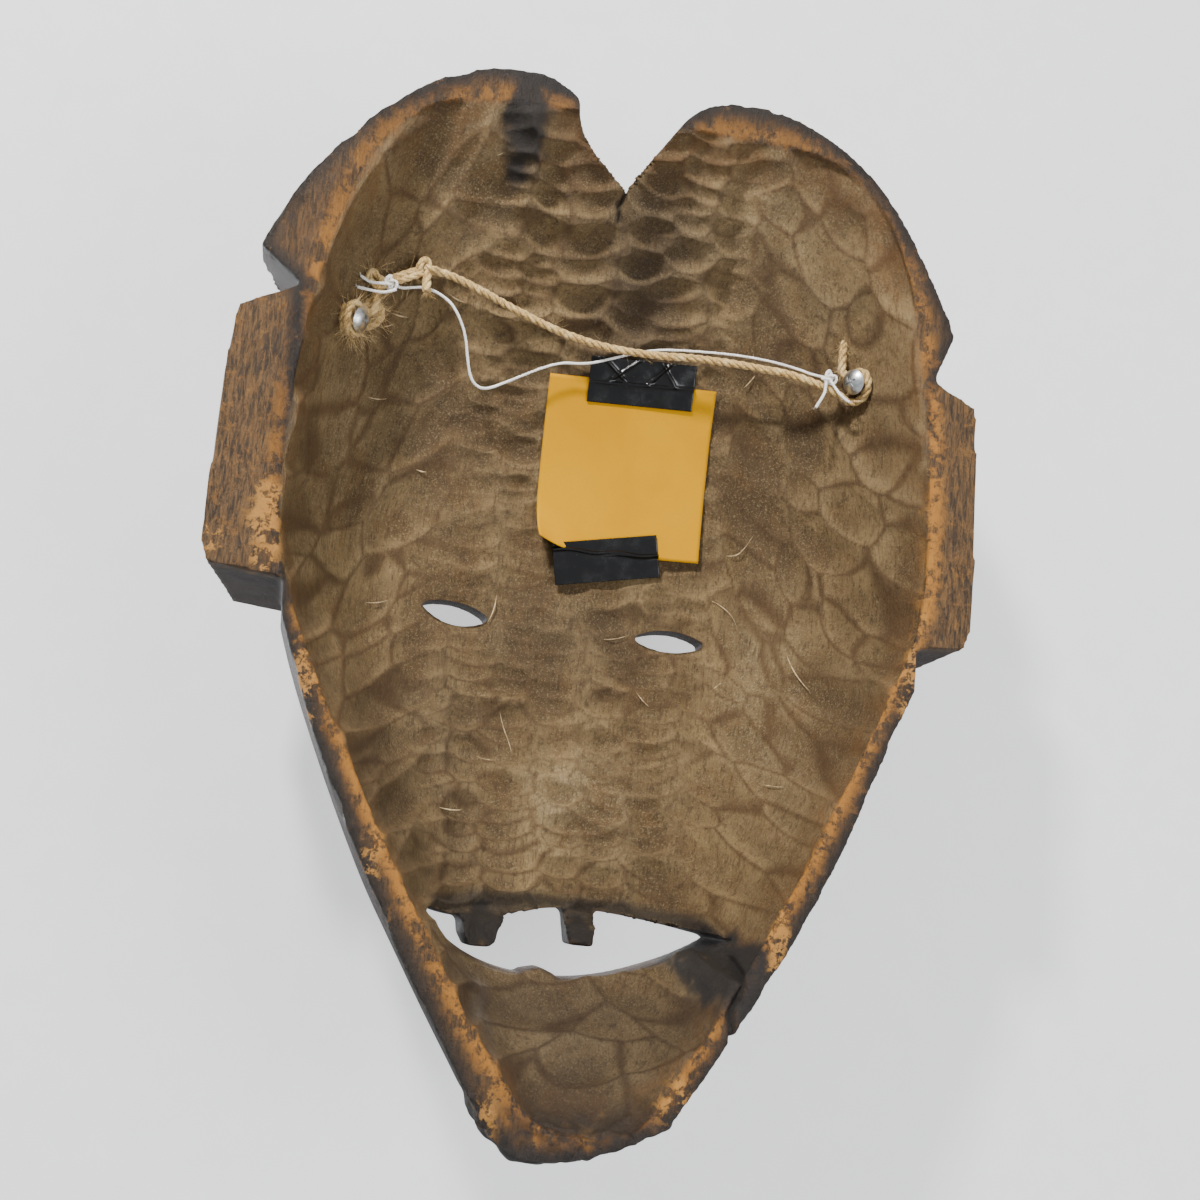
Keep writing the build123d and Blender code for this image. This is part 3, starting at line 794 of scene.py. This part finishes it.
def on_hollow(x, z):
    """The hollow's surface at X and Z, its normal, and the directions across and up it."""
    slope_x, slope_z = (float(v) for v in hollow_slope(np.float64(x), np.float64(z)))
    normal = np.array([slope_x, 1.0, slope_z]) / math.sqrt(1.0 + slope_x ** 2 + slope_z ** 2)
    aside = np.cross([0.0, 0.0, 1.0], normal)
    aside /= np.linalg.norm(aside)
    return np.array([x, -float(hollow_depth(x, z)), z]), normal, aside, np.cross(normal, aside)


def nurbs_points(route):
    """Points along the smooth NURBS spline whose control points are the route's, in metres."""
    curve = bpy.data.curves.new("route", "CURVE")
    curve.dimensions = "3D"
    curve.resolution_u = ROUTE_SAMPLES
    spline = curve.splines.new("NURBS")
    spline.points.add(len(route) - 1)
    for point, place in zip(spline.points, metres(route)):
        point.co = (*place, 1.0)
    spline.order_u = 3
    spline.use_endpoint_u = True
    holder = bpy.data.objects.new("route", curve)
    mesh = bpy.data.meshes.new_from_object(holder)
    points = read_vertices(mesh)
    bpy.data.objects.remove(holder)
    apart = np.linalg.norm(np.diff(points, axis=0), axis=1) > 1e-6
    return points[np.concatenate([[True], apart])]


def frames_along(points):
    """Unit tangents and two unit normals that don't twist, at each point of a line."""
    tangents = np.gradient(points, axis=0)
    tangents /= np.linalg.norm(tangents, axis=1)[:, None]
    side = np.cross(tangents[0], [0.3, 0.5, 0.8])
    sides = []
    for tangent in tangents:
        side = side - tangent * side.dot(tangent)
        side = side / np.linalg.norm(side)
        sides.append(side)
    sides = np.array(sides)
    return tangents, sides, np.cross(tangents, sides)


def tube(points, radii, round_count):
    """Vertices and faces of a closed tube round a line of points."""
    _, sides, others = frames_along(points)
    angles = np.linspace(0.0, 2.0 * math.pi, round_count, endpoint=False)
    rings = [p + r * (np.outer(np.cos(angles), a) + np.outer(np.sin(angles), b))
             for p, r, a, b in zip(points, radii, sides, others)]
    faces = []
    for ring in range(len(points) - 1):
        for k in range(round_count):
            a, b = ring * round_count + k, ring * round_count + (k + 1) % round_count
            faces.append((a, b, b + round_count, a + round_count))
    faces.append(tuple(range(round_count))[::-1])
    last = (len(points) - 1) * round_count
    faces.append(tuple(range(last, last + round_count)))
    return np.concatenate(rings), faces


def joined(name, parts):
    """One mesh object from several lists of vertices, in metres, and faces."""
    vertices, faces, start = [], [], 0
    for points, polygons in parts:
        vertices.append(points)
        faces += [tuple(index + start for index in polygon) for polygon in polygons]
        start += len(points)
    return new_object(name, mesh_from(name, np.concatenate(vertices), faces))


def twisted(points, diameter, plies, pitch, round_count=8):
    """The plies of a twisted cord of that diameter, all in metres."""
    _, sides, others = frames_along(points)
    along = np.concatenate([[0.0], np.cumsum(np.linalg.norm(np.diff(points, axis=0), axis=1))])
    offset = diameter * (0.26 if plies == 3 else 0.23)
    radius = diameter / 2.0 - offset
    parts = []
    for ply in range(plies):
        turn = 2.0 * math.pi * (along / pitch + ply / plies)
        middle = points + offset * (np.cos(turn)[:, None] * sides + np.sin(turn)[:, None] * others)
        wobble = 1.0 + 0.07 * np.sin(along / pitch * 3.1 + ply)
        parts.append(tube(middle, radius * 1.08 * wobble, round_count))
    return parts


def fibres(points, count, reach, thickness, seed, spread=0.8):
    """Loose hairs that leave a cord and curl back, in metres."""
    rng = np.random.default_rng(seed)
    tangents, sides, others = frames_along(points)
    parts = []
    for _ in range(count):
        at = rng.integers(0, len(points))
        turn = rng.uniform(0, 2 * math.pi)
        outward = math.cos(turn) * sides[at] + math.sin(turn) * others[at]
        along = tangents[at] * rng.choice([-1.0, 1.0])
        curl = rng.normal(0, 0.5, 3)
        length = reach * rng.uniform(0.35, 1.0)
        t = np.linspace(0.0, 1.0, 6)[:, None]
        line = points[at] + outward * thickness * 4 + length * (
            t * along + spread * t ** 1.5 * outward + 0.5 * t ** 2 * curl)
        parts.append(tube(line, np.linspace(thickness, 0.5 * thickness, 6), 3))
    return parts


def trefoil(centre, radius, tilt, count=60):
    """Points of a small closed overhand knot, in metres."""
    t = np.linspace(0.0, 2.0 * math.pi, count)
    flat = np.stack([np.sin(t) + 2 * np.sin(2 * t), np.cos(t) - 2 * np.cos(2 * t),
                     -1.3 * np.sin(3 * t)], axis=1) * radius / 3.0
    turn = np.array(Matrix.Rotation(tilt[0], 3, "X") @ Matrix.Rotation(tilt[1], 3, "Z"))
    return metres([centre])[0] + flat @ turn.T / 1000.0


def round_screw(side, offsets):
    """Points near a screw from offsets across, up and out of the wood there."""
    origin, normal, aside, upward = on_hollow(*SCREWS[side])
    return [origin + aside * a + upward * b + normal * c for a, b, c in offsets]


def twine_coil():
    """Nearly two loose turns round the left screw."""
    offsets = []
    per_turn, turns = 12, 1.75
    for k in range(int(turns * per_turn) + 1):
        angle = 2.0 * math.pi * k / per_turn + 2.6
        share = k / (turns * per_turn)
        wide = 6.6 + 0.6 * math.sin(3.0 * angle)
        tall = 6.8 + 0.5 * math.cos(2.0 * angle)
        offsets.append((wide * math.cos(angle), tall * math.sin(angle), 1.9 + 3.0 * share))
    return round_screw("left", offsets)


CURL = [  # a small loop beside the coil
    (107.0, -38.5, 111.6), (102.8, -40.5, 112.6), (98.6, -41.5, 115.4), (97.4, -41.5, 119.6),
    (99.8, -40.0, 123.0), (103.4, -38.0, 123.2), (105.8, -36.5, 120.4), (104.6, -36.0, 117.0),
    (101.4, -36.0, 117.6), (100.4, -36.0, 121.0), (101.4, -35.4, 125.4),
]
TWINE_LEAD = [(99.0, -34.0, 129.6), (94.0, -35.0, 133.8), (88.0, -37.0, 137.6), (83.0, -38.4, 140.4)]
TWINE_BIGHT = [
    (82.0, -36.8, 138.4), (88.0, -36.0, 135.0), (94.0, -34.4, 131.4), (99.6, -33.0, 131.0),
    (103.0, -32.0, 134.4), (105.4, -31.5, 133.0), (104.0, -31.5, 129.4), (100.0, -32.6, 127.4),
]
RIGHT_TURN = [
    (-6.6, -7.8, 4.2), (-1.5, -8.6, 3.6), (3.2, -6.4, 3.2), (5.4, -1.0, 3.0), (4.4, 3.6, 3.0),
    (0.4, 4.9, 3.2), (-4.4, 3.4, 4.0), (-7.2, 5.0, 5.0),
]
TAIL_UP = [(-105.4, -34.5, 125.0), (-106.0, -36.0, 134.0), (-107.8, -37.0, 143.5)]
STRING_START = [(91.3, -37.5, 130.2), (85.9, -38.5, 132.0), (80.1, -39.5, 133.2), (73.0, -41.5, 131.6)]
STRING_TAILS = {
    "left": [
        [(97.5, -31.2, 129.4), (101.9, -30.6, 128.6), (105.0, -30.2, 128.8), (108.2, -29.4, 130.4)],
        [(93.0, -32.0, 127.6), (97.0, -31.0, 125.2), (102.3, -30.4, 125.0), (109.0, -29.0, 125.2)],
    ],
    "right": [
        [(-97.6, -31.6, 115.4), (-97.6, -31.0, 111.0), (-96.6, -31.6, 107.2), (-93.8, -32.0, 102.2)],
        [(-99.0, -31.2, 115.4), (-101.6, -30.2, 111.6), (-104.0, -29.0, 107.8), (-107.6, -28.0, 105.4)],
    ],
}
KNOTS = {"twine": (81.0, -38.5, 141.0), "left": (95.6, -33.0, 130.6), "right": (-99.4, -32.6, 116.8)}
STUB = [(80.6, -38.0, 139.4), (80.3, -37.2, 136.4), (80.4, -37.0, 133.4), (79.8, -37.0, 130.6)]


def fibre_material(name, dark, light, pale, scale, roughness):
    m = Nodes(name)
    hair = m.noise(m.stretch(scale, scale, scale * 0.5), 1.0, 4.0, 0.7, 0.8)
    cloud = m.noise(m.place, 160.0, 3.0)
    colour = m.mix(m.between(hair, 0.35, 0.65), dark, light)
    colour = m.mix(m.math("MULTIPLY", m.between(cloud, 0.5, 0.7), 0.6), colour, pale)
    normal = m.bump(hair, 0.0004, 0.7)
    return m.finish(colour, roughness, normal, Specular_IOR_Level=0.2, Sheen_Weight=0.25)


def make_twine_knot(diameter, jute):
    knot_line = trefoil(KNOTS["twine"], 4.2, (0.5, 0.4))
    stub_line = nurbs_points(STUB)
    bight_line = nurbs_points(TWINE_BIGHT)
    knot = joined("twine_knot", twisted(knot_line, diameter * 0.82, 3, TWINE_PITCH)
                  + twisted(stub_line, diameter * 1.1, 3, TWINE_PITCH)
                  + twisted(bight_line, diameter * 0.8, 3, TWINE_PITCH)
                  + fibres(stub_line[-6:], 70, 0.004, 0.00014, 21, 0.4)
                  + fibres(bight_line, 120, 0.007, 0.00007, 26, 0.9))
    return rider(knot, "jute", "twine_knot_left", material=jute)


def make_twine_hairs(line, jute):
    """Hairs on the whole twine, more of them round the left screw and at the frayed end."""
    wrap_end = (len(twine_coil()) + len(CURL)) * ROUTE_SAMPLES
    stretches = (  # points, count, reach, thickness, seed, spread
        (line, 420, 0.0065, 0.00006, 22, 0.7),
        (line[:wrap_end], 700, 0.008, 0.00008, 23, 1.1),
        (line[-40:], 130, 0.006, 0.00008, 24, 0.5),
        (line[-8:], 170, 0.006, 0.00018, 25, 0.42),
    )
    hairs = []
    for stretch in stretches:
        hairs += fibres(*stretch)
    return rider(joined("twine_fibres", hairs), "jute", material=jute)


def make_twine():
    route = (twine_coil() + CURL + TWINE_LEAD + TWINE_SPAN + [TWINE_TAIL_START]
             + round_screw("right", RIGHT_TURN) + TAIL_UP)
    line = nurbs_points(route)
    jute = fibre_material("jute", linear(138, 106, 56), linear(214, 180, 118), linear(234, 208, 152),
                          1500.0, 0.9)
    diameter = TWINE_D / 1000.0
    twine = joined("twine", twisted(line, diameter, 3, TWINE_PITCH))
    rider(twine, "jute", "twine_span", "twine_tail_right", "twine_wrap_left", material=jute)
    knot = make_twine_knot(diameter, jute)
    fuzz = make_twine_hairs(line, jute)
    origin = on_hollow(*SCREWS["left"])[0]


def make_string():
    line = nurbs_points([KNOTS["left"]] + STRING_START + STRING_SPAN + [KNOTS["right"]])
    cotton = fibre_material("cotton", linear(226, 223, 216), linear(250, 248, 243),
                            linear(255, 253, 249), 2600.0, 0.8)
    diameter = STRING_D / 1000.0
    string = joined("string", twisted(line, diameter * 1.15, 3, STRING_PITCH, 6))
    rider(string, "cotton", "string_span", material=cotton)
    for side in ("left", "right"):
        parts = twisted(trefoil(KNOTS[side], 2.7, (0.9, 0.3)), diameter, 3, STRING_PITCH, 6)
        parts += twisted(trefoil(KNOTS[side], 3.3, (1.9, 1.2)), diameter, 3, STRING_PITCH, 6)
        for tail in STRING_TAILS[side]:
            tail_line = nurbs_points(tail)
            parts += twisted(tail_line, diameter * 1.1, 3, STRING_PITCH, 6)
            parts += fibres(tail_line[-4:], 14, 0.0016, 0.00007, 31, 0.5)
        knot = joined(f"string_knot_{side}_tied", parts)
        rider(knot, "cotton", f"string_knot_{side}", material=cotton)


# Paper and tape

def loose_corner(u, v):
    """0 over most of a sheet, rising to 1 at its corner towards +X and -Z."""
    return np.clip((u - v - 1.3) / 0.7, 0.0, None)


def laid_grid(name, centre, turn, width, height, columns, rows, lift_of, thickness, pull=0.0):
    """A thin sheet on the hollow's surface. lift_of(u, v) is its height over the plain curve,
    where u and v run from -1 to 1 towards +X and +Z. Its loose corner is drawn in by pull."""
    u, v = np.meshgrid(np.linspace(-1, 1, columns), np.linspace(-1, 1, rows))
    u, v = u.ravel(), v.ravel()
    angle = math.radians(turn)
    drawn_in = pull * loose_corner(u, v) ** 2
    across_mm = u * width / 2.0 - 0.3 * drawn_in
    up_mm = v * height / 2.0 + drawn_in
    x = centre[0] + across_mm * math.cos(angle) + up_mm * math.sin(angle)
    z = centre[1] - across_mm * math.sin(angle) + up_mm * math.cos(angle)
    y = -hollow_depth(x, z) + lift_of(u, v)
    faces = []
    for row in range(rows - 1):
        for column in range(columns - 1):
            a = row * columns + column
            faces.append((a, a + columns, a + columns + 1, a + 1))
    piece = new_object(name, mesh_from(name, metres(np.stack([x, y, z], axis=1)), faces))
    solid = piece.modifiers.new("thickness", "SOLIDIFY")
    solid.thickness = thickness / 1000.0
    solid.offset = 1.0
    piece.data = applied(piece)
    return piece


def note_lift(u, v):
    """Flat under its tapes, with a corner that curls up and a slight wave."""
    wave = 0.35 * np.sin(2.2 * u + 1.0) * np.sin(1.7 * v + 0.4)
    return PAPER_GAP + 0.4 + wave + CORNER_LIFT * loose_corner(u, v) ** 2.0


def crease(a, b, c, u, v, width):
    """A raised fold along the line a u + b v = c."""
    distance = np.abs(a * u + b * v - c) / math.hypot(a, b)
    return np.exp(-((distance / width) ** 1.4))


def tape_upper_lift(u, v):
    above = smooth(v, -0.15, 0.15)
    folds = 1.2 * crease(1.0, 0.55, 0.62, u, v, 0.035) * above
    folds += 1.2 * crease(1.0, -0.50, 0.30, u, v, 0.035) * above
    folds += 1.2 * crease(1.0, 0.40, -0.12, u, v, 0.035) * above
    folds += 1.1 * crease(1.0, -0.30, -0.62, u, v, 0.035) * above
    folds += 0.9 * crease(0.05, 1.0, -0.08, u, v, 0.06)
    ripple = 0.25 * np.sin(9.0 * u + 3.0 * v) * above
    return TAPE_GAP + folds + ripple


def tape_lower_lift(u, v):
    wander = v + 0.05 * np.sin(7.0 * u)
    folds = 1.4 * crease(-0.36, 1.0, 0.34, u, wander, 0.06)
    folds += 0.9 * crease(-0.22, 1.0, 0.20, u, wander, 0.04) * (1.0 - smooth(u, -0.3, 0.3))
    return TAPE_GAP + folds + 0.10 * np.sin(7.0 * u - 5.0 * v)


def note_material():
    m = Nodes("note_paper")
    cloud = m.noise(m.place, 30.0, 3.0)
    pulp = m.noise(m.place, 900.0, 4.0, 0.7)
    colour = m.mix(m.between(cloud, 0.3, 0.7), linear(188, 132, 0), linear(196, 141, 0))
    colour = m.mix(m.math("MULTIPLY", m.between(pulp, 0.45, 0.7), 0.18), colour, linear(176, 118, 0))
    return m.finish(colour, 0.85, m.bump(pulp, 0.00012, 0.5), Specular_IOR_Level=0.03)


def tape_material():
    m = Nodes("black_tape")
    film = m.noise(m.place, 120.0, 4.0, 0.6)
    dust = m.noise(m.place, 1500.0, 2.0)
    colour = m.mix(m.math("MULTIPLY", m.between(dust, 0.68, 0.78), 0.4), linear(10, 10, 11),
                   linear(90, 88, 84))
    rough = m.math("ADD", 0.14, m.math("MULTIPLY", m.between(film, 0.4, 0.7), 0.16))
    return m.finish(colour, rough, m.bump(film, 0.0006, 0.4), Specular_IOR_Level=0.4)


def make_paper():
    note = laid_grid("note", NOTE_CENTRE, NOTE_TURN, NOTE_SIZE, NOTE_SIZE, 48, 48, note_lift, 0.15,
                     pull=CORNER_PULL)
    rider(note, "note_paper", "paper_note", material=note_material())
    black = tape_material()
    upper = laid_grid("tape_top", (-21.0, 110.5), 2.0, TAPE_LENGTH, TAPE_WIDTH, 110, 44,
                      tape_upper_lift, 0.16)
    rider(upper, "black_tape", "tape_upper", material=black)
    lower = laid_grid("tape_bottom", (-15.0, 32.5), 11.0, TAPE_LENGTH, TAPE_WIDTH, 110, 44,
                      tape_lower_lift, 0.16)
    rider(lower, "black_tape", "tape_lower", material=black)


# Screws

def finish_screws():
    m = Nodes("zinc")
    cloud = m.noise(m.place, 400.0, 3.0)
    brushed = m.noise(m.place, 2600.0, 2.0)
    colour = m.mix(m.between(cloud, 0.35, 0.65), linear(176, 180, 182), linear(214, 216, 216))
    rough = m.math("ADD", 0.24, m.math("MULTIPLY", brushed, 0.16))
    steel = m.finish(colour, rough, m.bump(brushed, 0.00008, 0.4), Metallic=1.0)
    for side in SCREWS:
        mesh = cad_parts[f"screw_{side}"].data
        mesh.materials.clear()
        mesh.materials.append(steel)


# Stage, in metres and watts

TABLE_REACH, TABLE_GAP = 3.0, 0.004
WARM, COOL, OVERCAST = (1.0, 0.98, 0.95), (0.95, 0.97, 1.0), (0.86, 0.88, 0.9, 1.0)
WORLD_STRENGTH = 0.72
LIT_PLACE = (0.0, -0.05, -0.11)
LIGHTS = (  # name, place, size, power, colour
    ("key", (0.62, 0.92, 0.85), 0.15, 44.0, WARM),
    ("fill", (-1.0, 1.15, -0.35), 0.8, 20.0, COOL),
    ("front_key", (-0.8, -1.3, 0.9), 0.9, 66.0, WARM),
    ("front_fill", (1.1, -1.2, 0.1), 1.2, 24.0, COOL),
)


def make_stage():
    """A pale table under the face, seen only from behind the mask. It throws no light on it."""
    table_y = CAD_BOX[0][1] - TABLE_GAP
    corners = [(x * TABLE_REACH, table_y, z * TABLE_REACH) for x, z in ((-1, -1), (-1, 1), (1, 1), (1, -1))]
    mesh = bpy.data.meshes.new("table")
    mesh.from_pydata(corners, [], [(0, 1, 2, 3)])
    table = new_object("table", mesh)
    for ray in ("diffuse", "glossy", "transmission", "shadow"):
        setattr(table, f"visible_{ray}", False)
    m = Nodes("table_paper")
    speck = m.noise(m.place, 60.0, 5.0, 0.6)
    colour = m.mix(m.between(speck, 0.2, 0.8), linear(176, 177, 178), linear(184, 184, 185))
    m.finish(colour, 0.9, Emission_Color=(0.98, 0.99, 1.0, 1.0), Emission_Strength=0.86,
             Specular_IOR_Level=0.2)
    clear = m.tree.nodes.new("ShaderNodeBsdfTransparent")
    switch = m.tree.nodes.new("ShaderNodeMixShader")
    behind = m.tree.nodes.new("ShaderNodeNewGeometry").outputs["Backfacing"]
    output = m.tree.nodes["Material Output"]
    m.link(behind, switch.inputs["Fac"])
    m.link(m.shader.outputs["BSDF"], switch.inputs[1])
    m.link(clear.outputs["BSDF"], switch.inputs[2])
    m.link(switch.outputs["Shader"], output.inputs["Surface"])
    mesh.materials.append(m.material)


def area_light(name, place, size, power, colour):
    data = bpy.data.lights.new(name, "AREA")
    data.size, data.energy, data.color = size, power, colour
    light = new_object(name, data)
    light.location = place
    aim = Vector(LIT_PLACE) - Vector(place)
    light.rotation_euler = aim.to_track_quat("-Z", "Y").to_euler()


def make_light():
    for light in LIGHTS:
        area_light(*light)
    world = bpy.data.worlds.new("studio")
    world.use_nodes = True
    background = world.node_tree.nodes["Background"]
    background.inputs["Color"].default_value = OVERCAST
    background.inputs["Strength"].default_value = WORLD_STRENGTH
    bpy.context.scene.world = world


make_twine()
make_string()
make_mask()
make_splinters()
make_paper()
finish_screws()
make_stage()
make_light()
